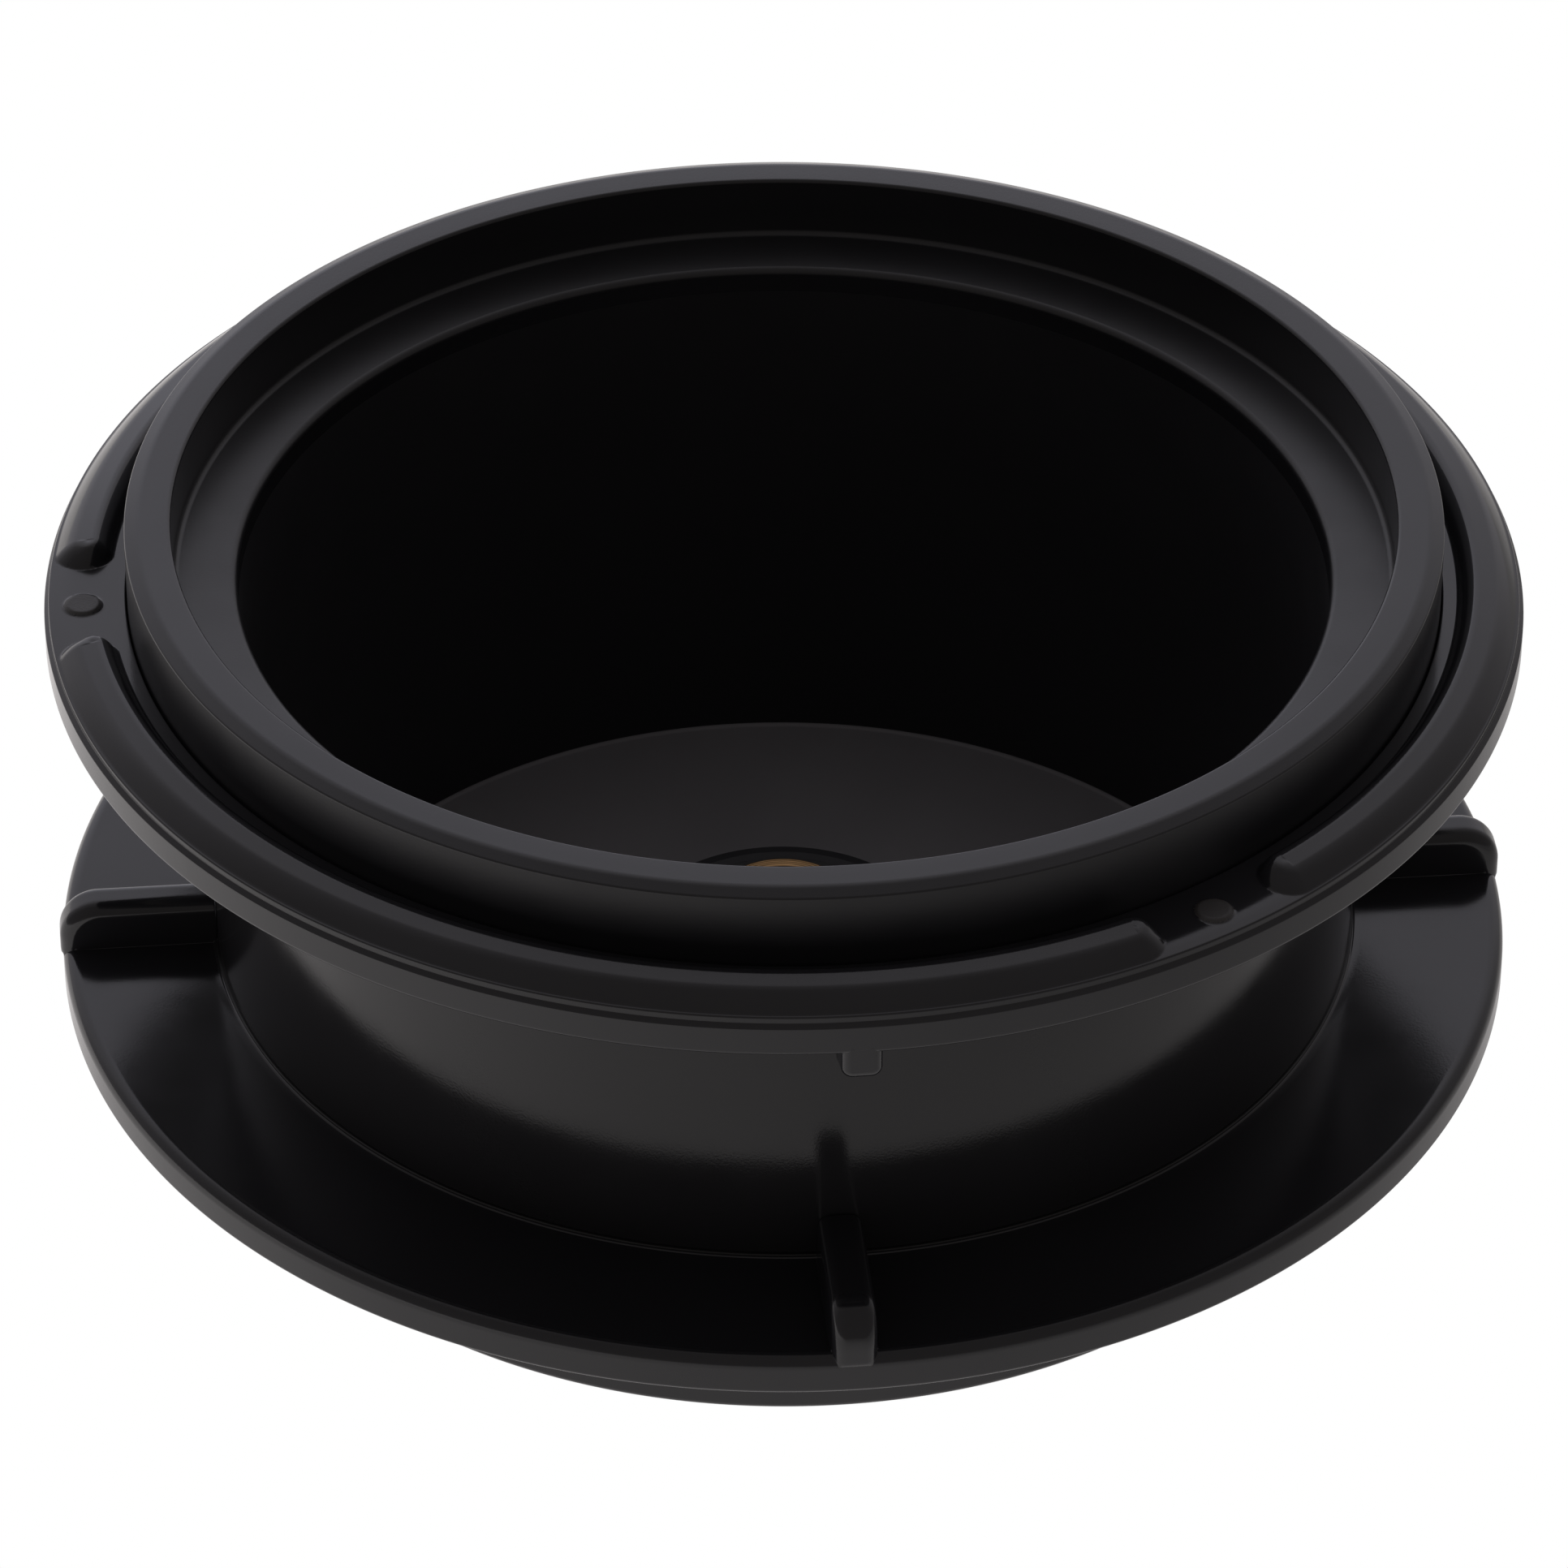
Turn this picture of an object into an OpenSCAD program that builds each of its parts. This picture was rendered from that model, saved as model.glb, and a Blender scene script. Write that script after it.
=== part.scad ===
// Grinding-chamber bowl of a kitchen food-waste disposer.
// A moulded bowl carries a turning three-ramp lock ring under its rim and a
// ribbed base flange round its foot. A short shaft runs in a brass bush in the
// middle of the floor. Millimetres, +Z up, origin at the centre of the underside.

/* [Bowl] */
// Height from the underside to the top of the rim
bowl_h = 52; // [52:0.5:60]
// Outside radius of the wall between the two flanges
wall_r = 45; // [44.8:0.1:45.2]
// Inside radius at the mouth
mouth_r = 42.1; // [41.6:0.1:42.2]
// Inside radius where the wall meets the floor
floor_r = 41.3; // [40.8:0.1:41.4]
// Thickness of the floor
floor_t = 1.7; // [1.5:0.1:2.2]

/* [Rim] */
// Outside radius of the rim
rim_r = 50.6; // [50.4:0.1:50.6]
// Radius of the recess inside the rim
recess_r = 47; // [46.8:0.1:47.2]
// Depth of the recess at its wall
recess_d = 5.1; // [4.6:0.1:5.6]
// Rounding of the rim's outer top edge
rim_round = 1.3; // [0.5:0.1:2]

/* [Lock ring] */
// Outside radius of the lock ring
ring_r = 57; // [56.8:0.1:58]
// Height of the ramps above the ring's face
ramp_h = 1.45; // [1:0.05:1.6]
// Angle of the gap between two ramps
gap_deg = 15; // [12:1:18]
// Angle that the ring turns from open to locked
lock_turn = 40; // [20:1:45]
// Width of the finger tab
tab_w = 3.5; // [2.5:0.1:4]

/* [Base flange] */
// Outside radius of the base flange
base_r = 57.1; // [56.8:0.1:58]
// Thickness of the base flange
base_t = 3.3; // [3:0.1:3.6]
// Height of the ribs above the flange
rib_h = 3.9; // [3:0.1:5]
// Thickness of the ribs
rib_t = 3.4; // [2.8:0.1:3.8]
// How far the ribs' noses stand past the flange
rib_over = 0.2; // [0.1:0.1:0.5]

/* [Clamp nut] */
// Outside radius of the clamp nut under the base flange
nut_r = 46.1; // [45.8:0.1:47]
// Height of the clamp nut
nut_h = 10.8; // [10.5:0.1:11]

/* [Boss and shaft] */
// Radius of the boss in the middle of the floor
boss_r = 12.5; // [12.3:0.1:14]
// Radius of the bush's barrel and neck
neck_r = 5.6; // [5.5:0.1:5.8]
// Radius of the bush flange
bush_flange_r = 7.8; // [7.4:0.1:8.2]
// Radius of the shaft
shaft_r = 3; // [2.9:0.05:3.05]
// Radial running clearance of the shaft in its bush
shaft_gap = 0.03; // [0.02:0.01:0.06]

/* [Hidden] */
$fn = 96;
top = bowl_h;                  // top face of the rim
boss_z = 10.4;                 // top of the floor boss
cavity_r = 8.5;                // hollow under the boss
plate_t = 2.5;                 // thickness of the boss's top plate
spigot_r = wall_r - 1.4;       // foot of the bowl inside the flange and nut
base_z = nut_h;                // underside of the base flange
base_top = base_z + base_t;
shoulder_z = base_top + 0.3;   // shoulder that presses on the gasket
collar_z = top - 7.2;          // underside of the rim's collar
journal_r = 48;                // the lock ring turns on this
ring_lip_r = journal_r + 0.08;
ring_bot = top - 9.7;
ring_face = top - 6.3;
groove_z = top - 11.1;         // snap ring groove, 1 mm high
stop_deg = 6;                  // angle of each stop lug
tab_az = -84.2;
rib_az = 5.5;
gap_az = 185.5;
bush_top = boss_z + 3.7;       // top of the bush's neck
seat_z = bush_top - 1.6;       // floor of the counterbore in the neck
seat_r = shaft_r + 1.4;
gasket_t = 0.4;
barrel_z = 4.4;
nut_corner = neck_r + 1.8;
shaft_z0 = 0.4;
shaft_z1 = bush_top + 0.4;
clip_t = 0.6;

// Points of one rounded corner p1 between its neighbours p0 and p2
function corner(p0, p1, p2, r, n) = let(
    u = (p0 - p1) / norm(p0 - p1), v = (p2 - p1) / norm(p2 - p1),
    h = acos(u * v) / 2, t = r / tan(h), c = p1 + (u + v) / norm(u + v) * r / sin(h),
    s = p1 + u * t, e = p1 + v * t,
    a0 = atan2(s.y - c.y, s.x - c.x),
    da = (atan2(e.y - c.y, e.x - c.x) - a0 + 540) % 360 - 180)
  [for (i = [0:n]) c + r * [cos(a0 + da * i / n), sin(a0 + da * i / n)]];

// Outline from corners given as [x, y, rounding]
function outline(p, n = 5) = let(m = len(p)) [for (i = [0:m - 1])
    let(a = p[(i + m - 1) % m], b = p[i], c = p[(i + 1) % m])
    each (b[2] > 0 ? corner([a.x, a.y], [b.x, b.y], [c.x, c.y], b[2], n) : [[b.x, b.y]])];

module lathe(p) { rotate_extrude() polygon(outline(p)); }

module sector(p, a0, a1) {
  rotate([0, 0, a0]) rotate_extrude(angle = a1 - a0) polygon(outline(p));
}

module tube(r0, r1, z0, z1) {
  translate([0, 0, z0]) difference() {
    cylinder(r = r1, h = z1 - z0);
    translate([0, 0, -1]) cylinder(r = r0, h = z1 - z0 + 2);
  }
}

// Open spring ring with a gap centred on azimuth az
module open_ring(r0, r1, z0, z1, az, open) {
  sector([[r0, z0, 0], [r1, z0, 0], [r1, z1, 0], [r0, z1, 0]], az + open / 2, az + 360 - open / 2);
}

// Bowl with its rim, recess, collar, journal, foot and floor boss
module chamber_cup() color([0.07, 0.07, 0.075]) {
  lathe([
    [cavity_r, 0, 0], [spigot_r, 0, 0.6], [spigot_r, shoulder_z, 0],
    [wall_r, shoulder_z, 0], [wall_r, top - 15, 2], [journal_r, top - 12, 0],
    [journal_r, groove_z, 0], [journal_r - 1.1, groove_z, 0],
    [journal_r - 1.1, groove_z + 1, 0], [journal_r, groove_z + 1, 0],
    [journal_r, collar_z, 0], [rim_r, collar_z, 0.3], [rim_r, top - 0.42, 0.2], [rim_r - 1.05, top, rim_round],
    [recess_r, top, 0.3], [recess_r, top - recess_d, 0.5],
    [mouth_r, top - recess_d - 0.4, 0.6], [floor_r, floor_t, 0.8],
    [boss_r + 0.5, floor_t, 1], [boss_r, boss_z - 0.3, 0.25], [boss_r - 1.2, boss_z, 0.3],
    [neck_r + 0.05, boss_z, 0], [neck_r + 0.05, boss_z - plate_t, 0],
    [cavity_r, boss_z - plate_t, 0]]);
  for (k = [0:2]) sector([[journal_r - 0.5, collar_z - 2.1, 0], [journal_r + 1.4, collar_z - 2.1, 0],
      [journal_r + 1.4, collar_z + 0.3, 0], [journal_r - 0.5, collar_z + 0.3, 0]],
    20 + 120 * k, 20 + stop_deg + 120 * k);
}

// Outline of the finger tab, hanging below the ring
module tab_face() {
  polygon(outline([[-tab_w / 2, ring_bot - 2.5, 0.9], [tab_w / 2, ring_bot - 2.5, 0.9],
    [tab_w / 2, ring_bot + 1, 0], [-tab_w / 2, ring_bot + 1, 0]]));
}

// Lock ring: three ramps, a locating nub in each gap, stop slots and a finger tab
module lock_ring() color([0.08, 0.08, 0.085]) {
  difference() {
    lathe([[ring_lip_r, ring_bot, 0], [ring_r, ring_bot, 0.4], [ring_r, ring_face - 1, 0.12],
      [ring_r - 0.35, ring_face - 0.7, 0], [ring_r - 0.35, ring_face - 0.32, 0.25], [ring_r - 2, ring_face, 13],
      [rim_r + 0.1, ring_face, 0.15], [rim_r + 0.1, collar_z - 0.1, 0], [ring_lip_r, collar_z - 0.1, 0]]);
    for (k = [0:2]) sector([[ring_lip_r - 1, ring_bot - 1, 0], [journal_r + 1.7, ring_bot - 1, 0],
        [journal_r + 1.7, collar_z + 1, 0], [ring_lip_r - 1, collar_z + 1, 0]],
      20 - lock_turn - 0.5 + 120 * k, 20 + stop_deg + 0.5 + 120 * k);
  }
  for (k = [0:2]) {
    sector([[ring_r - 5.2, ring_face - 0.2, 0], [ring_r - 0.45, ring_face - 0.6, 0],
        [ring_r - 1.9, ring_face + ramp_h - 0.28, 0.9], [ring_r - 3.4, ring_face + ramp_h, 1],
        [ring_r - 4.2, ring_face + ramp_h, 0.3]],
      gap_az + gap_deg / 2 + 120 * k, gap_az - gap_deg / 2 + 120 * (k + 1));
    for (s = [-1, 1]) rotate([0, 0, gap_az + 120 * k + s * gap_deg / 2]) translate([ring_r - 3, 0, ring_face - 0.2])
      cylinder(r1 = 2.2, r2 = 0.9, h = ramp_h + 0.2, $fn = 48);
    rotate([0, 0, gap_az + 120 * k]) translate([ring_r - 3, 0, ring_face - 0.2])
      cylinder(r1 = 1.7, r2 = 1.2, h = 0.45, $fn = 32);
  }
  intersection() {
    rotate([0, 0, tab_az - 90]) translate([0, -ring_r - 2, 0]) rotate([90, 0, 0])
      translate([0, 0, -6]) linear_extrude(12) tab_face();
    rotate([0, 0, tab_az - 10]) rotate_extrude(angle = 20) translate([ring_r - 2.2, ring_bot - 5])
      square([2.2, 8]);
  }
}

// Slip washer between the lock ring and its snap ring
module ring_slip_washer() color([0.85, 0.85, 0.8])
  tube(journal_r + 0.05, journal_r + 2.3, groove_z + 1, ring_bot - 0.08);

// Snap ring that holds the lock ring up
module ring_snap_ring() color([0.6, 0.6, 0.62]) {
  open_ring(journal_r - 1.05, journal_r + 2, groove_z + 0.05, groove_z + 0.95, 90, 16);
  for (s = [-1, 1]) rotate([0, 0, 90 + s * 10]) difference() {
    translate([journal_r + 1.2, 0, groove_z + 0.05]) cylinder(r = 2.2, h = 0.9, $fn = 32);
    translate([journal_r + 1.2, 0, groove_z - 1]) cylinder(r = 0.9, h = 3, $fn = 24);
    tube(journal_r - 4, journal_r - 1.05, groove_z - 1, groove_z + 2);
  }
}

// Base flange with its four round-nosed ribs
module base_flange() color([0.07, 0.07, 0.075]) {
  lathe([[spigot_r + 0.1, base_z, 0], [base_r, base_z, 0.5], [base_r, base_top, 1.1],
    [wall_r + 0.35, base_top, 0], [wall_r + 0.2, base_top + 0.15, 0], [wall_r + 0.05, base_top + 0.15, 0], [wall_r + 0.05, base_top - 0.3, 0], [spigot_r + 0.1, base_top - 0.3, 0]]);
  for (k = [0:3]) rotate([90, 0, rib_az + 90 * k]) translate([0, 0, -rib_t / 2]) linear_extrude(rib_t)
    polygon(outline([[wall_r + 0.1, base_top - 0.6, 0], [base_r + rib_over, base_top - 0.6, 0.2],
      [base_r + rib_over, base_top + rib_h, 0.82 * rib_h], [wall_r + 0.1, base_top + rib_h, 0]]));
}

// Flat gasket between the bowl's shoulder and the base flange
module flange_gasket() color([0.12, 0.12, 0.12])
  tube(spigot_r + 0.1, wall_r, base_top - 0.3, shoulder_z);

// Ring nut that clamps the base flange against the bowl's shoulder
module clamp_nut() color([0.07, 0.07, 0.075]) difference() {
  lathe([[spigot_r + 0.05, 0, 0.3], [nut_r, 0, 0.6], [nut_r, base_z, 0], [spigot_r + 0.05, base_z, 0]]);
  for (k = [0:5]) rotate([0, 0, 60 * k]) translate([(spigot_r + nut_r) / 2, 0, -1])
    cylinder(r = 0.7, h = 4, $fn = 24);
}

// Brass bush in the floor boss, with a flange and a counterbored neck
module shaft_bush() color([0.75, 0.58, 0.3]) lathe([
  [shaft_r + shaft_gap, barrel_z, 0], [neck_r, barrel_z, 0.3], [neck_r, boss_z + gasket_t, 0],
  [bush_flange_r, boss_z + gasket_t, 0], [bush_flange_r, boss_z + gasket_t + 0.6, 0.2],
  [neck_r, boss_z + gasket_t + 0.6, 0], [neck_r, bush_top, 0.4], [seat_r, bush_top, 0.1],
  [seat_r, seat_z, 0], [shaft_r + shaft_gap, seat_z, 0]]);

// Thin gasket under the bush flange
module bush_gasket() color([0.03, 0.03, 0.03])
  tube(neck_r + 0.05, bush_flange_r + 2.2, boss_z, boss_z + gasket_t);

// Tab washer under the boss's top plate
module bush_tab_washer() color([0.62, 0.62, 0.64]) difference() {
  union() {
    tube(neck_r + 0.05, nut_corner + 0.7, boss_z - plate_t - 0.5, boss_z - plate_t);
    translate([neck_r + 0.5, -1.2, boss_z - plate_t - 2]) cube([nut_corner + 0.2 - neck_r, 2.4, 1.7]);
  }
  translate([0, 0, boss_z - plate_t - 3]) cylinder(r = nut_corner + 0.1, h = 2.5);
}

// Hexagon nut on the bush, under the tab washer
module bush_nut() color([0.75, 0.58, 0.3]) translate([0, 0, boss_z - plate_t - 3]) difference() {
  cylinder(r = nut_corner, h = 2.5, $fn = 6);
  translate([0, 0, -1]) cylinder(r = neck_r + 0.05, h = 5);
}

// Steel case of the shaft seal, pressed into the hollow under the boss
module seal_case() color([0.6, 0.6, 0.62]) lathe([
  [shaft_r + 2.2, 0.3, 0], [cavity_r - 0.02, 0.3, 0.5], [cavity_r - 0.02, 3, 0], [cavity_r - 0.62, 3, 0],
  [cavity_r - 0.62, 0.9, 0], [shaft_r + 2.2, 0.9, 0]]);

// Rubber lip of the shaft seal
module seal_lip() color([0.05, 0.05, 0.05]) lathe([
  [shaft_r + shaft_gap, 1.5, 0], [shaft_r + 1.2, 0.9, 0], [cavity_r - 0.64, 0.9, 0], [cavity_r - 0.64, 1.5, 0],
  [shaft_r + 2, 1.5, 0], [shaft_r + 1.3, 2.1, 0], [shaft_r + 0.9, 2.1, 0], [shaft_r + 0.9, 2.7, 0],
  [shaft_r + 0.5, 2.7, 0], [shaft_r + shaft_gap, 2, 0]]);

// Garter spring round the seal lip
module seal_spring() color([0.6, 0.6, 0.62])
  rotate_extrude() translate([shaft_r + 1.22, 2.42]) circle(r = 0.28, $fn = 20);

// Short shaft, tapped on top and with a hexagon socket below
module drive_shaft() color([0.7, 0.7, 0.72]) difference() {
  lathe([[0, shaft_z0, 0], [shaft_r, shaft_z0, 0.4], [shaft_r, barrel_z - 1.1, 0], [shaft_r - 0.4, barrel_z - 1.1, 0],
    [shaft_r - 0.4, barrel_z - 0.48, 0], [shaft_r, barrel_z - 0.48, 0],
    [shaft_r, seat_z + 0.44, 0], [shaft_r - 0.4, seat_z + 0.44, 0],
    [shaft_r - 0.4, seat_z + 1.08, 0], [shaft_r, seat_z + 1.08, 0],
    [shaft_r, shaft_z1, 0.3], [0, shaft_z1, 0]]);
  translate([0, 0, shaft_z1 - 8]) cylinder(r = 1.65, h = 9, $fn = 48);
  translate([0, 0, shaft_z0 - 1]) cylinder(r = 1.74, h = 5, $fn = 6);
}

// Thrust washer between the bush and the upper circlip
module thrust_washer_top() color([0.62, 0.62, 0.64])
  tube(shaft_r + 0.05, shaft_r + 1.1, seat_z + 0.03, seat_z + 0.43);

// Thrust washer between the bush and the lower circlip
module thrust_washer_bottom() color([0.62, 0.62, 0.64])
  tube(shaft_r + 0.05, shaft_r + 1.1, barrel_z - 0.45, barrel_z - 0.05);

// One circlip near each end of the shaft
module shaft_circlips() color([0.5, 0.5, 0.52]) {
  open_ring(shaft_r - 0.38, shaft_r + 1, seat_z + 0.46, seat_z + 0.46 + clip_t, 270, 50);
  open_ring(shaft_r - 0.38, shaft_r + 1, barrel_z - 1.08, barrel_z - 1.08 + clip_t, 270, 50);
}

chamber_cup();
lock_ring();
ring_slip_washer();
ring_snap_ring();
base_flange();
flange_gasket();
clamp_nut();
shaft_bush();
bush_gasket();
bush_tab_washer();
bush_nut();
seal_case();
seal_lip();
seal_spring();
drive_shaft();
thrust_washer_top();
thrust_washer_bottom();
shaft_circlips();
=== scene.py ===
import math

import bpy
import numpy as np
from mathutils import Matrix, Vector


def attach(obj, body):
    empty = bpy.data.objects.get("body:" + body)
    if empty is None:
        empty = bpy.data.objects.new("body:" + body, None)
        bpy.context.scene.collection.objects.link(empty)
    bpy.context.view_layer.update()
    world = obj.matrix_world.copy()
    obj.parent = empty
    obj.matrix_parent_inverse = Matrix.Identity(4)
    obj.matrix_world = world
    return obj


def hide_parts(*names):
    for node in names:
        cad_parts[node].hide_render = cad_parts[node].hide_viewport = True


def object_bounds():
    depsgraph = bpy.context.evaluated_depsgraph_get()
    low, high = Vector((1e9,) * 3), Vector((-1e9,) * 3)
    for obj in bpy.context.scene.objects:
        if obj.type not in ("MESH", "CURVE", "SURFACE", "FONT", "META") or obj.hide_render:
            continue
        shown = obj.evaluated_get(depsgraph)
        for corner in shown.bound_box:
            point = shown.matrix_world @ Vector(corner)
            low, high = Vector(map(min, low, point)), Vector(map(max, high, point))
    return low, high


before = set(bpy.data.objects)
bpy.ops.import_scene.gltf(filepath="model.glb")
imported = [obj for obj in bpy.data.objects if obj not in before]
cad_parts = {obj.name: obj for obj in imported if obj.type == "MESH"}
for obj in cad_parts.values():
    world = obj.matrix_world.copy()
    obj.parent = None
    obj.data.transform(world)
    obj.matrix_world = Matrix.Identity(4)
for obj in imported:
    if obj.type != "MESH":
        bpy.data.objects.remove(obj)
cad_lo, cad_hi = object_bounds()
MM = 0.001

# ---------------------------------------------------------------- camera
TOP = cad_hi.z
UNIT = 0.057
cam_data = bpy.data.cameras.new("camera")
cam_data.sensor_fit = "HORIZONTAL"
cam_data.sensor_width = 36.0
cam_data.lens = 10000.0 / 1932.0 * 36.0
cam_data.clip_start, cam_data.clip_end = 0.01, 50.0
cam = bpy.data.objects.new("camera", cam_data)
bpy.context.scene.collection.objects.link(cam)
place = Matrix.Translation((0.00083 * UNIT, -9.08442 * UNIT, TOP + 6.08209 * UNIT))
turn = Matrix.Rotation(math.pi / 2 - 0.624733, 4, "X") @ Matrix.Rotation(0.0029, 4, "Z")
cam.matrix_world = place @ turn
bpy.context.scene.camera = cam


# ---------------------------------------------------------------- mesh helpers
def corner(p0, p1, p2, r, n):
    p0, p1, p2 = (np.array(p, float) for p in (p0, p1, p2))
    u = (p0 - p1) / np.linalg.norm(p0 - p1)
    v = (p2 - p1) / np.linalg.norm(p2 - p1)
    h = math.acos(max(-1.0, min(1.0, float(u @ v)))) / 2
    t = r / math.tan(h)
    c = p1 + (u + v) / np.linalg.norm(u + v) * r / math.sin(h)
    s, e = p1 + u * t, p1 + v * t
    a0 = math.atan2(*(s - c)[::-1])
    da = (math.atan2(*(e - c)[::-1]) - a0 + 3 * math.pi) % (2 * math.pi) - math.pi
    return [c + r * np.array([math.cos(a0 + da * i / n), math.sin(a0 + da * i / n)]) for i in range(n + 1)]


def outline(pts, step=1.5):
    """Rounded outline from (r, z, radius) corners, anticlockwise, with long straight runs split up."""
    m = len(pts)
    out = []
    for i in range(m):
        a, b, c = pts[i - 1], pts[i], pts[(i + 1) % m]
        if b[2] > 0:
            out += corner(a[:2], b[:2], c[:2], b[2], 8 if b[2] > 0.3 else 5)
        else:
            out.append(np.array(b[:2], float))
    full = []
    for i, p in enumerate(out):
        q = out[(i + 1) % len(out)]
        k = max(1, int(math.ceil(np.linalg.norm(q - p) / step)))
        full += [p + (q - p) * j / k for j in range(k)]
    return np.array(full)


def area_normals(verts, faces):
    """Vertex normals weighted by face area, so flats stay flat beside small roundings."""
    v = verts[faces]
    if faces.shape[1] == 4:
        fn = np.cross(v[:, 2] - v[:, 0], v[:, 3] - v[:, 1])
    else:
        fn = np.cross(v[:, 1] - v[:, 0], v[:, 2] - v[:, 0])
    vn = np.zeros_like(verts)
    for k in range(faces.shape[1]):
        np.add.at(vn, faces[:, k], fn)
    ln = np.linalg.norm(vn, axis=1)
    ln[ln == 0] = 1
    return vn / ln[:, None]


def make(name, verts, faces, body, nodes, mat):
    me = bpy.data.meshes.new(name)
    verts = np.asarray(verts, float) * MM
    me.from_pydata(verts.tolist(), [], faces.tolist())
    me.validate()
    me.shade_smooth()
    me.normals_split_custom_set_from_vertices(area_normals(verts, faces).tolist())
    me.materials.append(mat)
    o = bpy.data.objects.new(name, me)
    bpy.context.scene.collection.objects.link(o)
    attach(o, body)
    if nodes:
        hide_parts(*nodes)
    return o


def torus_faces(nc, npf):
    j, i = np.meshgrid(np.arange(nc), np.arange(npf), indexing="ij")
    j2, i2 = (j + 1) % nc, (i + 1) % npf
    return np.stack([j * npf + i, j2 * npf + i, j2 * npf + i2, j * npf + i2], -1).reshape(-1, 4)


def lathe_grid(prof, n=360):
    a = np.arange(n) * 2 * math.pi / n
    r, z = prof[:, 0], prof[:, 1]
    return np.stack([np.cos(a)[:, None] * r, np.sin(a)[:, None] * r, np.broadcast_to(z, (n, len(z)))], -1)


def lathe(name, pts, body, nodes, mat, n=360, step=1.5):
    g = lathe_grid(outline(pts, step), n)
    return make(name, g.reshape(-1, 3), torus_faces(*g.shape[:2]), body, nodes, mat)


# ---------------------------------------------------------------- materials
def new_mat(name):
    m = bpy.data.materials.new(name)
    m.use_nodes = True
    nt = m.node_tree
    return m, nt, nt.nodes["Principled BSDF"]


def noise(nt, scale, detail=3.0, rough=0.5):
    tc = nt.nodes.new("ShaderNodeTexCoord")
    n = nt.nodes.new("ShaderNodeTexNoise")
    n.inputs["Scale"].default_value = scale
    n.inputs["Detail"].default_value = detail
    n.inputs["Roughness"].default_value = rough
    nt.links.new(tc.outputs["Object"], n.inputs["Vector"])
    return n


def to_range(nt, src, lo, hi, a=0.3, b=0.7):
    m = nt.nodes.new("ShaderNodeMapRange")
    m.inputs["From Min"].default_value = a
    m.inputs["From Max"].default_value = b
    m.inputs["To Min"].default_value = lo
    m.inputs["To Max"].default_value = hi
    nt.links.new(src, m.inputs["Value"])
    return m.outputs["Result"]


def bump(nt, src, strength, distance, after=None):
    b = nt.nodes.new("ShaderNodeBump")
    b.inputs["Strength"].default_value = strength
    b.inputs["Distance"].default_value = distance
    nt.links.new(src, b.inputs["Height"])
    if after is not None:
        nt.links.new(after, b.inputs["Normal"])
    return b.outputs["Normal"]


def plastic(name, col, r0, r1, grain=0.12):
    m, nt, p = new_mat(name)
    tone = noise(nt, 45, 4)
    ramp = nt.nodes.new("ShaderNodeValToRGB")
    ramp.color_ramp.elements[0].position, ramp.color_ramp.elements[1].position = 0.3, 0.7
    ramp.color_ramp.elements[0].color = (*[c * 0.9 for c in col], 1)
    ramp.color_ramp.elements[1].color = (*[c * 1.1 for c in col], 1)
    nt.links.new(tone.outputs["Fac"], ramp.inputs["Fac"])
    nt.links.new(ramp.outputs["Color"], p.inputs["Base Color"])
    nt.links.new(to_range(nt, noise(nt, 160, 5, 0.6).outputs["Fac"], r0, r1), p.inputs["Roughness"])
    fine = bump(nt, noise(nt, 5200, 2).outputs["Fac"], grain, 0.00004)
    wavy = bump(nt, noise(nt, 70, 1).outputs["Fac"], 0.25, 0.00025, fine)
    nt.links.new(wavy, p.inputs["Normal"])
    p.inputs["IOR"].default_value = 1.5
    return m


def metal(name, col, r0, r1, rings=0.0):
    m, nt, p = new_mat(name)
    p.inputs["Metallic"].default_value = 1.0
    tone = noise(nt, 400, 5)
    ramp = nt.nodes.new("ShaderNodeValToRGB")
    ramp.color_ramp.elements[0].position, ramp.color_ramp.elements[1].position = 0.3, 0.75
    ramp.color_ramp.elements[0].color = (*[c * 0.8 for c in col], 1)
    ramp.color_ramp.elements[1].color = (*[min(1, c * 1.08) for c in col], 1)
    nt.links.new(tone.outputs["Fac"], ramp.inputs["Fac"])
    nt.links.new(ramp.outputs["Color"], p.inputs["Base Color"])
    nt.links.new(to_range(nt, noise(nt, 900, 4).outputs["Fac"], r0, r1), p.inputs["Roughness"])
    if rings:
        tc = nt.nodes.new("ShaderNodeTexCoord")
        w = nt.nodes.new("ShaderNodeTexWave")
        w.wave_type, w.rings_direction = "RINGS", "Z"
        w.inputs["Scale"].default_value = 1400
        w.inputs["Distortion"].default_value = 0.6
        w.inputs["Detail"].default_value = 2
        nt.links.new(tc.outputs["Object"], w.inputs["Vector"])
        nt.links.new(bump(nt, w.outputs["Fac"], rings, 0.00003), p.inputs["Normal"])
    return m


BLACK = plastic("moulded_black", (0.0135, 0.0135, 0.0155), 0.19, 0.25)
WALL = plastic("moulded_black_wall", (0.0148, 0.0146, 0.016), 0.11, 0.16)
WALL.node_tree.nodes["Principled BSDF"].inputs["Specular IOR Level"].default_value = 0.39
INSIDE = plastic("moulded_black_fine_matt", (0.0142, 0.0142, 0.0165), 0.5, 0.58, 0.2)
# painted light: the bowl's floor is coloured light grey to stand in for light falling into the bowl from above
FLOOR_PAINTED_LIGHT = plastic("moulded_black_floor_painted_light", (0.2, 0.197, 0.21), 0.5, 0.6, 0.3)
RING = plastic("moulded_black_gloss", (0.0155, 0.0155, 0.0178), 0.12, 0.17, 0.06)
SATIN = plastic("moulded_black_satin", (0.0145, 0.0145, 0.0165), 0.32, 0.38)
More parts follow.
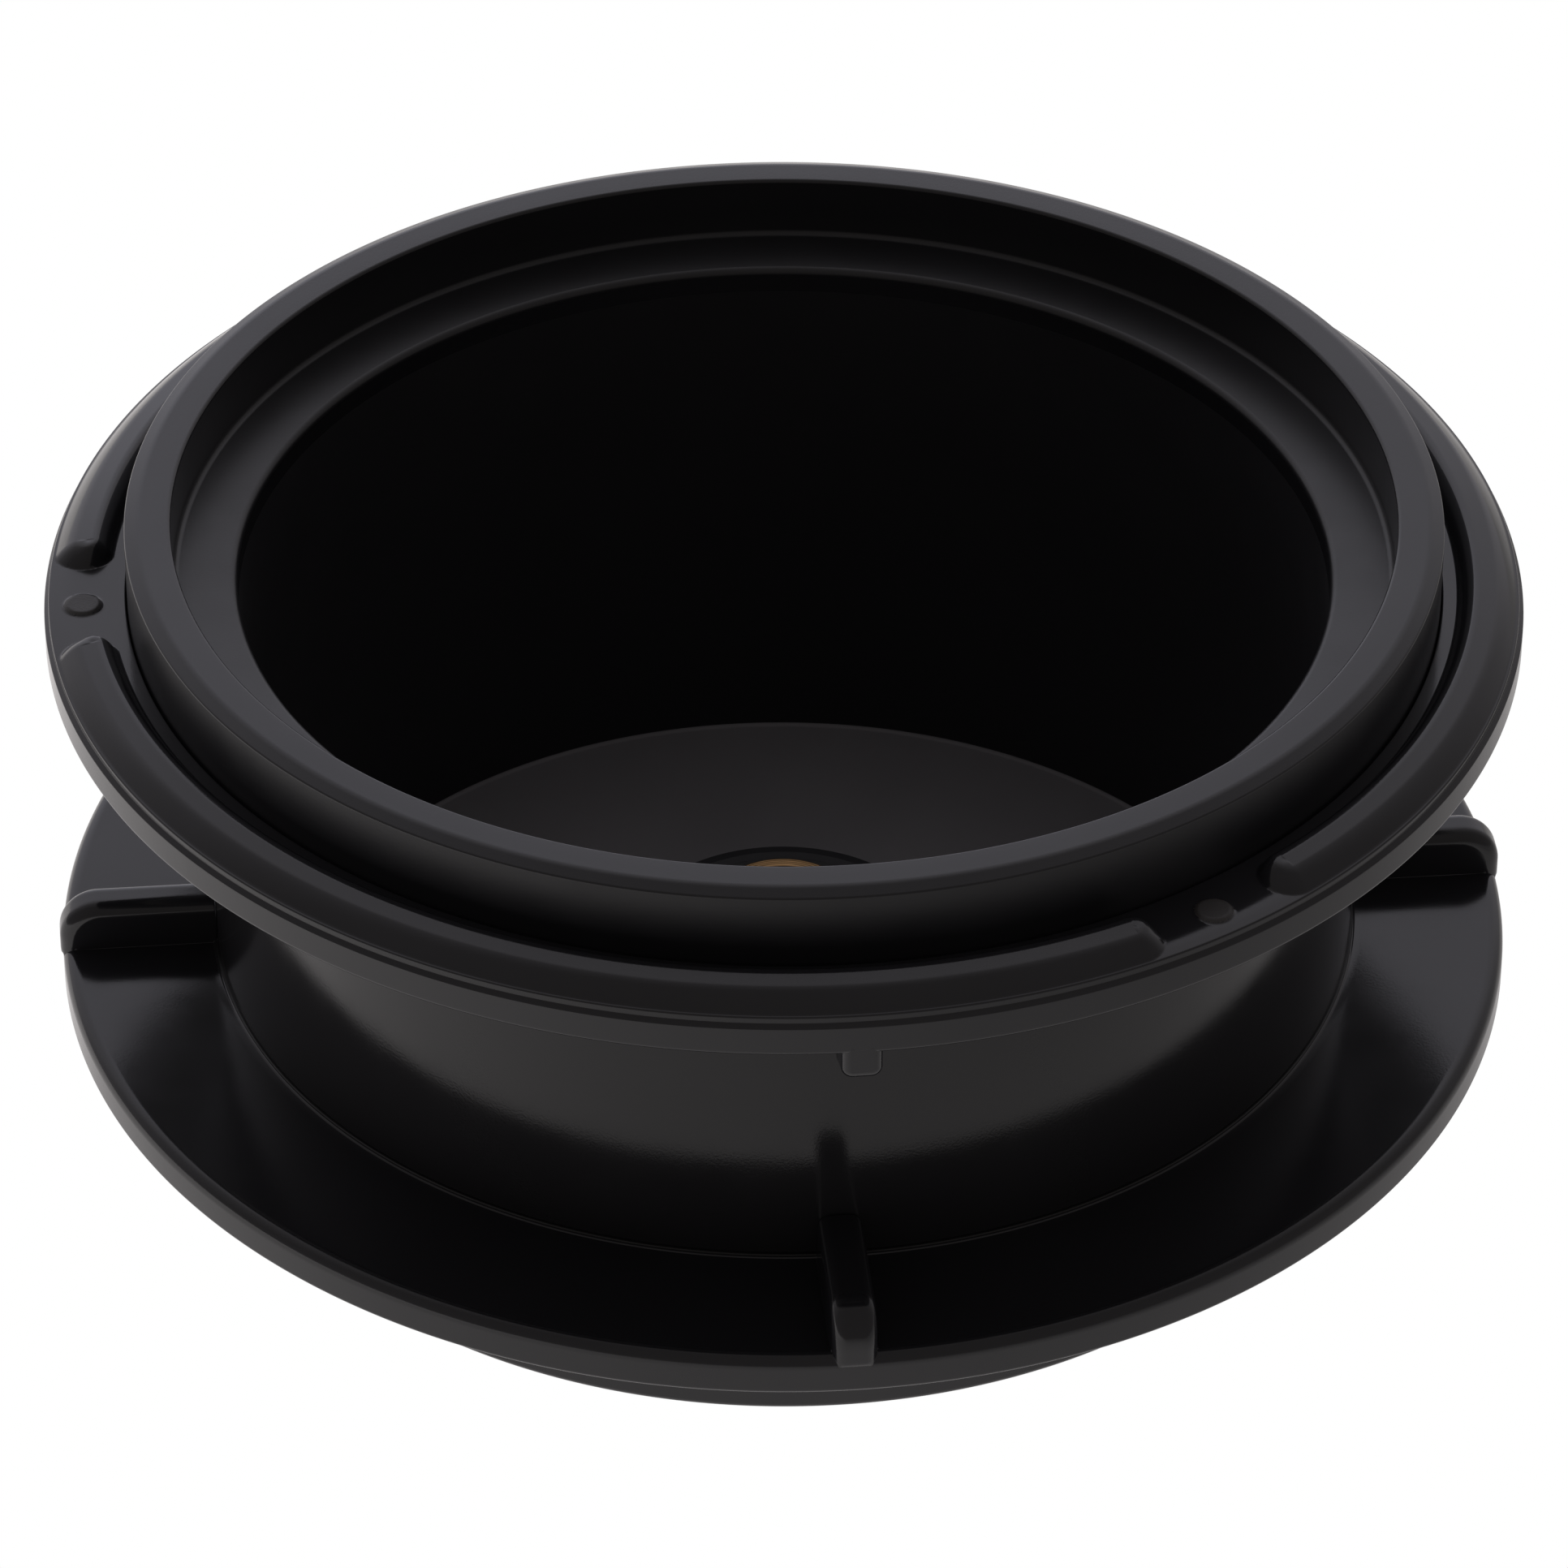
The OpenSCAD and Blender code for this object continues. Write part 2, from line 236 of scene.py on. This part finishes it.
# the gate marks are really rougher; their lighter warm base colour is painted reflection of the room in front
GATE_AND_PAINTED_REFLECTION = plastic("moulded_black_gate_painted_reflection", (0.03, 0.0275, 0.026), 0.42, 0.55, 0.5)
BRASS = metal("turned_brass", (0.44, 0.27, 0.125), 0.32, 0.45, 0.35)
STEEL = metal("turned_steel", (0.56, 0.56, 0.58), 0.22, 0.38, 0.3)
SPRING = metal("phosphated_steel", (0.12, 0.12, 0.13), 0.4, 0.6)
RUBBER = plastic("nitrile", (0.009, 0.009, 0.009), 0.42, 0.55, 0.3)
NYLON = plastic("natural_nylon", (0.72, 0.7, 0.63), 0.4, 0.5)

# ---------------------------------------------------------------- bowl
H = TOP / MM
cup_pts = [
    (8.5, 0, 0.1), (43.6, 0, 0.6), (43.6, 14.4, 0.1), (45.0, 14.4, 0.1), (45.0, H - 15, 2), (48.0, H - 12, 0.2),
    (48.0, H - 11.1, 0.1), (46.9, H - 11.1, 0.1), (46.9, H - 10.1, 0.1), (48.0, H - 10.1, 0.1), (48.0, H - 7.2, 0.1),
    (50.6, H - 7.2, 0.3), (50.6, H - 0.42, 0.2), (49.55, H, 1.3), (47.0, H, 0.3), (47.0, H - 5.1, 0.5), (42.1, H - 5.5, 0.6),
    (41.3, 1.7, 0.4), (13.0, 1.7, 1.0), (12.5, 10.1, 0.25), (11.3, 10.4, 0.3), (5.65, 10.4, 0.1), (5.65, 7.9, 0.1), (8.5, 7.9, 0.2)]
cup = lathe("bowl_shell", cup_pts, "bowl", ["chamber_cup"], BLACK)
# the inside of the bowl, below its mouth, came off a finely textured core
cup.data.materials.append(INSIDE)
cup.data.materials.append(FLOOR_PAINTED_LIGHT)
cup.data.materials.append(WALL)
cup.data.materials.append(SATIN)
for f in cup.data.polygons:
    c = f.center / MM
    rr = math.hypot(c.x, c.y)
    # faces on the bowl's floor take the light grey of painted light from above; the rest of the inside takes the fine
    # matt black
    if rr < 42.05 and 1.6 < c.z < H - 6.1:
        f.material_index = 2 if c.z < 1.95 else 1
    elif 44.5 < rr < 48.1 and 14.5 < c.z < H - 11.5:
        f.material_index = 3
    elif (rr < 47.02 and c.z > H - 6.1) or (rr > 50.4 and c.z < H - 0.5):
        f.material_index = 4


# ---------------------------------------------------------------- lock ring
RR = 57.0
FACE, BOT, LIP = H - 6.3, H - 9.7, H - 7.3
ring_prof = outline([
    (48.08, BOT, 0.15), (RR, BOT, 0.35), (RR, FACE - 1.0, 0.12), (RR - 0.35, FACE - 0.7, 0.06),
    (RR - 0.35, FACE - 0.2, 0.15), (RR - 1.6, FACE, 9), (50.7, FACE, 0.12), (50.7, LIP, 0.1), (48.08, LIP, 0.1)], 0.12)
GAP_AZ, GAP = 185.5, 15.0
TAB_AZ, TAB_W = -84.2, 3.5


def ring_columns():
    a = list(np.arange(0, 360, 1.0))
    for k in range(3):
        c = GAP_AZ + 120 * k
        a += list(np.arange(c - 11, c + 11, 0.12))
    a += list(np.arange(TAB_AZ - 2.4, TAB_AZ + 2.4, 0.04))
    for k in range(3):
        for e in (20 - 40 - 0.5 + 120 * k, 20 + 6 + 0.5 + 120 * k):
            a += [e - 0.02, e + 0.02]
    a = np.unique(np.round(np.mod(a, 360), 3))
    keep = [a[0]]
    for x in a[1:]:
        if x - keep[-1] > 0.015:
            keep.append(x)
    return np.array(keep)


def ramp_section(r):
    """Height of a ramp over the ring's flat face at radius r, in mm."""
    ti = np.clip((r - 51.8) / 1.4, 0, 1)
    to = np.clip((r - 54.7) / (RR - 0.35 - 54.7), 0, None)
    crown = 1.45 - 0.2 * np.clip(r - 53.5, 0, None)
    return np.where(r < 51.8, -1.0, np.where(r < 53.2, -0.2 + 1.65 * (1 - (1 - ti) ** 1.8), crown - 1.27 * to ** 1.6))


def ramp_surface(r, az):
    """Top of the three ramps, each with a round end, against the ring's flat face."""
    off = (az - GAP_AZ + 60) % 120 - 60
    rc = 54.0
    ds = np.maximum((GAP / 2 - np.abs(off)) * math.pi / 180 * rc, 0)
    q = np.hypot(ds, r - rc)
    w = np.clip(0.5 - (r - rc) / 1.6, 0, 1)
    w = w * w * (3 - 2 * w)
    end = w * ramp_section(rc - q) + (1 - w) * ramp_section(rc + q)
    return np.where(ds > 0, end, ramp_section(r))


def nub_height(r, az):
    off = (az - GAP_AZ + 60) % 120 - 60
    q = np.hypot(off * math.pi / 180 * 54.0, r - 54.0)
    u = np.clip((1.6 - q) / 0.45, 0, 1)
    return 0.24 * (u * u * (3 - 2 * u)), q


def tab_shell():
    """The finger tab: a rounded block that hangs from the ring, with its face flush with the ring's edge."""
    m, rho, hw, rc = 40, 0.75, TAB_W / 2 - 0.2, 0.85
    top, bot = BOT + 0.5, BOT - 2.4

    def loop(d, r):
        x, y, c = hw - d, bot + d, max(rc - d, 0.05)
        left = [(-x, top - (top - y - c) * i / 10) for i in range(10)]
        left += [(-x + c - c * math.cos(t), y + c - c * math.sin(t)) for t in np.linspace(0, math.pi / 2, m - 20)]
        left += [((-x + c) * (1 - i / 9.5), y) for i in range(1, 10)]
        left += [(-0.001, y)]
        pts = left + [(-px, pz) for px, pz in left[::-1]]
        return [(r * math.cos(math.radians(TAB_AZ) + px / RR), r * math.sin(math.radians(TAB_AZ) + px / RR), pz) for px, pz in pts]

    loops = [loop(-0.2, RR - 2.0)]
    loops += [loop(-0.2 + 0.2 * i / 4, RR - 2.0 + (2.0 - rho) * i / 4) for i in range(1, 4)]
    for t in np.linspace(0, math.pi / 2, 9):
        loops.append(loop(rho * (1 - math.cos(t)), RR - rho + rho * math.sin(t) + 0.003))
    n = len(loops[0])
    verts = [v for lp in loops for v in lp]
    faces = []
    for k in range(len(loops) - 1):
        faces += [(k * n + i, k * n + (i + 1) % n, (k + 1) * n + (i + 1) % n, (k + 1) * n + i) for i in range(n)]
    last = (len(loops) - 1) * n
    for i in range(n // 2 - 1):
        faces.append((last + i, last + i + 1, last + n - 2 - i, last + n - 1 - i))
        faces.append((n - 1 - i, n - 2 - i, i + 1, i))
    v = np.array(verts)
    f = np.array(faces)
    a, b, c, d = (v[f[:, k]] - v.mean(0) for k in range(4))
    vol = (np.cross(a, b) * c).sum() + (np.cross(a, c) * d).sum()
    return v, (f if vol > 0 else f[:, ::-1])


def build_ring():
    az = ring_columns()
    r = np.broadcast_to(ring_prof[:, 0], (len(az), len(ring_prof))).copy()
    z = np.broadcast_to(ring_prof[:, 1], (len(az), len(ring_prof))).copy()
    A = np.broadcast_to(az[:, None], r.shape)
    face = (z > FACE - 0.69) & (r > 51.0)
    nub, q = nub_height(r, A)
    z = np.where(face, np.maximum(z, FACE + ramp_surface(r, A)) + np.where(z > FACE - 0.3, nub, 0), z)
    # stop slots in the bore
    for k in range(3):
        a0, a1 = 20 - 40.5 + 120 * k, 26.5 + 120 * k
        inside = ((A - a0) % 360) < (a1 - a0)
        bore = (r < 49.7) & inside
        r = np.where(bore, 49.7, r)
    a = np.radians(A)
    g = np.stack([np.cos(a) * r, np.sin(a) * r, z], -1)
    tv, tf = tab_shell()
    verts = np.concatenate([g.reshape(-1, 3), tv])
    faces = np.concatenate([torus_faces(*g.shape[:2]), tf + g.shape[0] * g.shape[1]])
    o = make("ramp_ring", verts, faces, "lock", ["lock_ring"], RING)
    # the nubs are gate marks, rougher than the ring; their lighter, warm colour is painted reflection of the room in
    # front
    o.data.materials.append(GATE_AND_PAINTED_REFLECTION)
    for f in o.data.polygons:
        c = f.center / MM
        rr = math.hypot(c.x, c.y)
        if 52.4 < rr < 55.6 and c.z > FACE + 0.02:
            off = (math.degrees(math.atan2(c.y, c.x)) - GAP_AZ + 60) % 120 - 60
            if math.hypot(math.radians(off) * 54.0, rr - 54.0) < 1.45:
                f.material_index = 1
    return o


ring = build_ring()

# ---------------------------------------------------------------- base flange
RIB_AZ, RIB_T, RIB_H, ROUND = 5.5, 3.4, 3.9, 1.1
NOSE, OVER = 0.82 * RIB_H, 0.2
B_TOP, B_RIM = 14.1, 57.1


def flange_top(r):
    return B_TOP if r <= B_RIM - 1.1 else B_TOP - 1.1 + math.sqrt(max(0.0, 1.21 - (r - B_RIM + 1.1) ** 2))


def along(pts, n):
    """n + 1 points evenly spaced along a polyline."""
    pts = np.array(pts, float)
    d = np.concatenate([[0], np.cumsum(np.linalg.norm(np.diff(pts, axis=0), axis=1))])
    t = np.linspace(0, d[-1], n + 1)
    return np.stack([np.interp(t, d, pts[:, 0]), np.interp(t, d, pts[:, 1])], -1)


def base_profile(delta, rib):
    """Section of the base flange, with or without a round-nosed rib shrunk by delta."""
    rn, rt = B_RIM + OVER - delta, NOSE - delta
    ct = (B_RIM + OVER - NOSE, B_TOP + RIB_H - NOSE)
    arc = [(B_RIM - 1.1 + 1.1 * math.cos(t), B_TOP - 1.1 + 1.1 * math.sin(t)) for t in np.linspace(0, math.pi / 2, 60)]
    if rn >= B_RIM:
        start, under = (B_RIM, B_TOP - 0.85 - 0.0), [(B_RIM, B_TOP - 0.85), (rn, B_TOP - 0.85 + OVER)]
        lead = along([(B_RIM, B_TOP - 1.1), start], 12)
    else:
        nr = rn
        start = (nr, flange_top(nr))
        under = [start]
        lead = along([p for p in arc if p[0] > nr + 1e-4] + [start], 12)
    nr = start[0]
    if rib:
        nose = under
        nose += [(ct[0] + rt * math.cos(t), ct[1] + rt * math.sin(t)) for t in np.linspace(0, math.pi / 2, 40)]
        top = B_TOP + RIB_H - delta
        nose, flat = along(nose, 26), along([(ct[0], top), (45.16, top)], 12)
    else:
        top = B_TOP
        nose, flat = along([p for p in arc if p[0] < nr] + [(52.5, B_TOP)], 26), along([(52.5, B_TOP), (45.36, B_TOP)], 12)
        nose[0] = start
    e = 0.1
    inner = [(45.06 + e * (1 - math.sin(t)), top - e * (1 - math.cos(t))) for t in np.linspace(0, math.pi / 2, 7)]
    if not rib:     # low lip round the bore
        inner = [(45.36, B_TOP), (45.33, B_TOP + 0.05), (45.28, B_TOP + 0.1), (45.22, B_TOP + 0.135), (45.15, B_TOP + 0.15),
                 (45.09, B_TOP + 0.14), (45.055, B_TOP + 0.1)]
    rest = outline([(45.06, top - 2, 0), (45.06, 13.8, 0.05), (43.7, 13.8, 0.1), (43.7, 10.8, 0.1), (57.1, 10.8, 0.4), (57.1, 12.0, 0)], 40)
    rest = rest[1:-1]
    rest = np.concatenate([rest[:-1], along([rest[-1], rest[-1] + [0, 0.001]], 1)[:0], [rest[-1]]])
    return np.concatenate([lead[:-1], nose[:-1], flat[:-1], inner, along([(45.06, top - e), (45.06, 13.86)], 4)[1:-1], rest])


def build_base():
    pa = base_profile(ROUND, False)
    half = RIB_T / 2
    cols = [(half + 0.9, 0.0, ROUND)]
    for t in np.linspace(0, 1, 6):      # foot fillet
        cols.append((half + 0.08 * (1 - math.sin(t * math.pi / 2)) + 0.05, 0.08 * (1 - math.cos(t * math.pi / 2)) / RIB_H, ROUND))
    for t in np.linspace(0.2, 1, 5):    # side, with a little draft
        cols.append((half + 0.05 - 0.05 * t, (0.08 + (RIB_H - 0.08) * t) / RIB_H, ROUND))
    for t in np.linspace(1 / 12, 1, 12):  # rounded edge
        cols.append((half - ROUND * (1 - math.cos(t * math.pi / 2)), 1.0, ROUND * (1 - math.sin(t * math.pi / 2))))
    inside = [(u, 1.0, 0.0) for u in np.linspace(cols[-1][0], -cols[-1][0], 7)[1:-1]]
    cols = cols + inside + [(-u, w, d) for u, w, d in cols[::-1]]
    cols = cols[::-1]
    cache, g = {}, []

    def section(w, d):
        if (w, d) not in cache:
            pb = base_profile(d, True)
            cache[(w, d)] = pa * (1 - w) + pb * w if w > 0 else pa
        return cache[(w, d)]

    between = 84
    for k in range(4):
        c = math.radians(RIB_AZ + 90 * k)
        for u, w, d in cols:
            p = section(w, d)
            r, z = p[:, 0], p[:, 1]
            ang = c + np.arcsin(np.clip(u / r, -1, 1))
            g.append(np.stack([np.cos(ang) * r, np.sin(ang) * r, z], -1))
        r, z = pa[:, 0], pa[:, 1]
        first = c + np.arcsin(cols[-1][0] / r)
        last = c + math.pi / 2 + np.arcsin(cols[0][0] / r)
        for j in range(1, between):
            ang = first + (last - first) * j / between
            g.append(np.stack([np.cos(ang) * r, np.sin(ang) * r, z], -1))
    g = np.array(g)
    return make("ribbed_base", g.reshape(-1, 3), torus_faces(*g.shape[:2]), "bowl", ["base_flange"], RING)


base = build_base()
nut = lathe("foot_nut", [(43.65, 0, 0.3), (46.1, 0, 0.6), (46.1, 10.8, 0.1), (43.65, 10.8, 0.1)], "bowl", ["clamp_nut"], BLACK)


def drill(obj, spots, radius, depth, n=40):
    """Blind round holes in the underside, cut with an exact boolean that is applied here."""
    verts, faces = [], []
    for x, y in spots:
        b = len(verts)
        for z in (-1.0, depth):
            verts += [(x + radius * math.cos(2 * math.pi * i / n), y + radius * math.sin(2 * math.pi * i / n), z) for i in range(n)]
        faces += [(b + i, b + (i + 1) % n, b + n + (i + 1) % n, b + n + i) for i in range(n)]
        faces += [tuple(b + i for i in range(n - 1, -1, -1)), tuple(b + n + i for i in range(n))]
    cm = bpy.data.meshes.new("pins")
    cm.from_pydata([tuple(c * MM for c in v) for v in verts], [], faces)
    co = bpy.data.objects.new("pins", cm)
    bpy.context.scene.collection.objects.link(co)
    mod = obj.modifiers.new("holes", "BOOLEAN")
    mod.operation, mod.solver, mod.object = "DIFFERENCE", "EXACT", co
    dg = bpy.context.evaluated_depsgraph_get()
    new = bpy.data.meshes.new_from_object(obj.evaluated_get(dg))
    obj.modifiers.remove(mod)
    old, obj.data = obj.data, new
    bpy.data.meshes.remove(old)
    bpy.data.objects.remove(co)
    bpy.data.meshes.remove(cm)
    return new


drill(nut, [(44.85 * math.cos(math.radians(60 * k)), 44.85 * math.sin(math.radians(60 * k))) for k in range(6)], 0.7, 3.0)
lathe("wall_gasket", [(43.7, 13.8, 0.05), (45.03, 13.8, 0.03), (45.03, 14.1, 0.02), (45.2, 14.12, 0.1), (45.2, 14.39, 0.12), (43.7, 14.39, 0.05)], "bowl", ["flange_gasket"], RUBBER)
lathe("brass_bush", [(3.03, 4.4, 0.1), (5.6, 4.4, 0.3), (5.6, 10.8, 0.05), (7.8, 10.8, 0.05), (7.8, 11.4, 0.2), (5.6, 11.4, 0.1), (5.6, 14.1, 0.4),
                     (4.4, 14.1, 0.12), (4.4, 12.5, 0.1), (3.03, 12.5, 0.1)], "bowl", ["shaft_bush"], BRASS, 144, 0.4)
lathe("bush_seal_ring", [(5.65, 10.4, 0.05), (10.0, 10.4, 0.05), (10.0, 10.8, 0.12), (5.65, 10.8, 0.05)], "bowl", ["bush_gasket"], RUBBER, 144, 0.4)

# ---------------------------------------------------------------- carried-over CAD nodes
for node, mat in (("ring_slip_washer", NYLON), ("ring_snap_ring", SPRING), ("bush_tab_washer", STEEL), ("bush_nut", BRASS),
                  ("seal_case", STEEL), ("seal_lip", RUBBER), ("seal_spring", STEEL), ("drive_shaft", STEEL),
                  ("thrust_washer_top", STEEL), ("thrust_washer_bottom", STEEL), ("shaft_circlips", SPRING)):
    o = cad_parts[node]
    o.data.materials.clear()
    o.data.materials.append(mat)

# ---------------------------------------------------------------- stage
# A plain white sweep. The camera sees it as clean white; what the object sees of it
# falls off towards the front and the right, as a studio table lit from the back left does.
def math_node(nt, op, a, b=None):
    m = nt.nodes.new("ShaderNodeMath")
    m.operation = op
    for i, v in enumerate((a, b)):
        if v is None:
            continue
        if isinstance(v, (int, float)):
            m.inputs[i].default_value = v
        else:
            nt.links.new(v, m.inputs[i])
    return m.outputs[0]


FLOOR_MID, FLOOR_X, FLOOR_Y = 0.7, -2.4, 1.2
fm = bpy.data.materials.new("pale_floor")
fm.use_nodes = True
fnt = fm.node_tree
fnt.nodes.clear()
out = fnt.nodes.new("ShaderNodeOutputMaterial")
tc = fnt.nodes.new("ShaderNodeTexCoord")
sep = fnt.nodes.new("ShaderNodeSeparateXYZ")
fnt.links.new(tc.outputs["Object"], sep.inputs[0])
val = math_node(fnt, "ADD", math_node(fnt, "MULTIPLY", sep.outputs["X"], FLOOR_X), math_node(fnt, "MULTIPLY", sep.outputs["Y"], FLOOR_Y))
val = math_node(fnt, "ADD", val, FLOOR_MID)
val = math_node(fnt, "MINIMUM", math_node(fnt, "MAXIMUM", val, 0.34), 1.0)
dim = fnt.nodes.new("ShaderNodeEmission")
dim.inputs["Color"].default_value = (1.0, 0.96, 0.955, 1)
fnt.links.new(val, dim.inputs["Strength"])
white = fnt.nodes.new("ShaderNodeEmission")
white.inputs["Strength"].default_value = 1.0
path = fnt.nodes.new("ShaderNodeLightPath")
mix = fnt.nodes.new("ShaderNodeMixShader")
fnt.links.new(path.outputs["Is Camera Ray"], mix.inputs[0])
fnt.links.new(dim.outputs[0], mix.inputs[1])
fnt.links.new(white.outputs[0], mix.inputs[2])
fnt.links.new(mix.outputs[0], out.inputs["Surface"])
me = bpy.data.meshes.new("floor")
s = 3.0
me.from_pydata([(-s, -s, 0), (s, -s, 0), (s, s, 0), (-s, s, 0)], [], [(0, 1, 2, 3)])
me.materials.append(fm)
floor = bpy.data.objects.new("floor", me)
bpy.context.scene.collection.objects.link(floor)
floor.location.z = cad_lo.z - 0.00002

# Soft studio light: a bright sweep low at the back, fading over the top to a dim room at the front.
world = bpy.data.worlds.new("studio")
bpy.context.scene.world = world
world.use_nodes = True
wn = world.node_tree
wn.nodes.clear()
wout = wn.nodes.new("ShaderNodeOutputWorld")
wtc = wn.nodes.new("ShaderNodeTexCoord")
dot = wn.nodes.new("ShaderNodeVectorMath")
dot.operation = "DOT_PRODUCT"
BACK = Vector((-0.14, 0.94, 0.34)).normalized()
dot.inputs[1].default_value = BACK
wn.links.new(wtc.outputs["Generated"], dot.inputs[0])
ang = math_node(wn, "DIVIDE", math_node(wn, "ARCCOSINE", math_node(wn, "MINIMUM", dot.outputs["Value"], 1.0)), math.pi)
sky = wn.nodes.new("ShaderNodeValToRGB")
stops = [(0, 1.0), (9, 0.96), (16.5, 0.8), (25, 0.7), (38, 0.62), (52, 0.38), (80, 0.2), (180, 0.15)]
cr = sky.color_ramp
while len(cr.elements) < len(stops):
    cr.elements.new(0.5)
for e, (deg, v) in zip(cr.elements, stops):
    e.position = deg / 180
    warm = min(1.0, deg / 110)
    e.color = (v * (0.98 + 0.06 * warm), v * (0.975 - 0.025 * warm), v * (1.1 - 0.2 * warm), 1)
wn.links.new(ang, sky.inputs["Fac"])
bg = wn.nodes.new("ShaderNodeBackground")
wn.links.new(sky.outputs["Color"], bg.inputs["Color"])
clean = wn.nodes.new("ShaderNodeBackground")
clean.inputs["Color"].default_value = (1, 1, 1, 1)
wp = wn.nodes.new("ShaderNodeLightPath")
wm = wn.nodes.new("ShaderNodeMixShader")
wn.links.new(wp.outputs["Is Camera Ray"], wm.inputs[0])
wn.links.new(bg.outputs[0], wm.inputs[1])
wn.links.new(clean.outputs[0], wm.inputs[2])
wn.links.new(wm.outputs[0], wout.inputs["Surface"])

sc = bpy.context.scene
sc.view_settings.view_transform = "Standard"
sc.view_settings.look = "None"
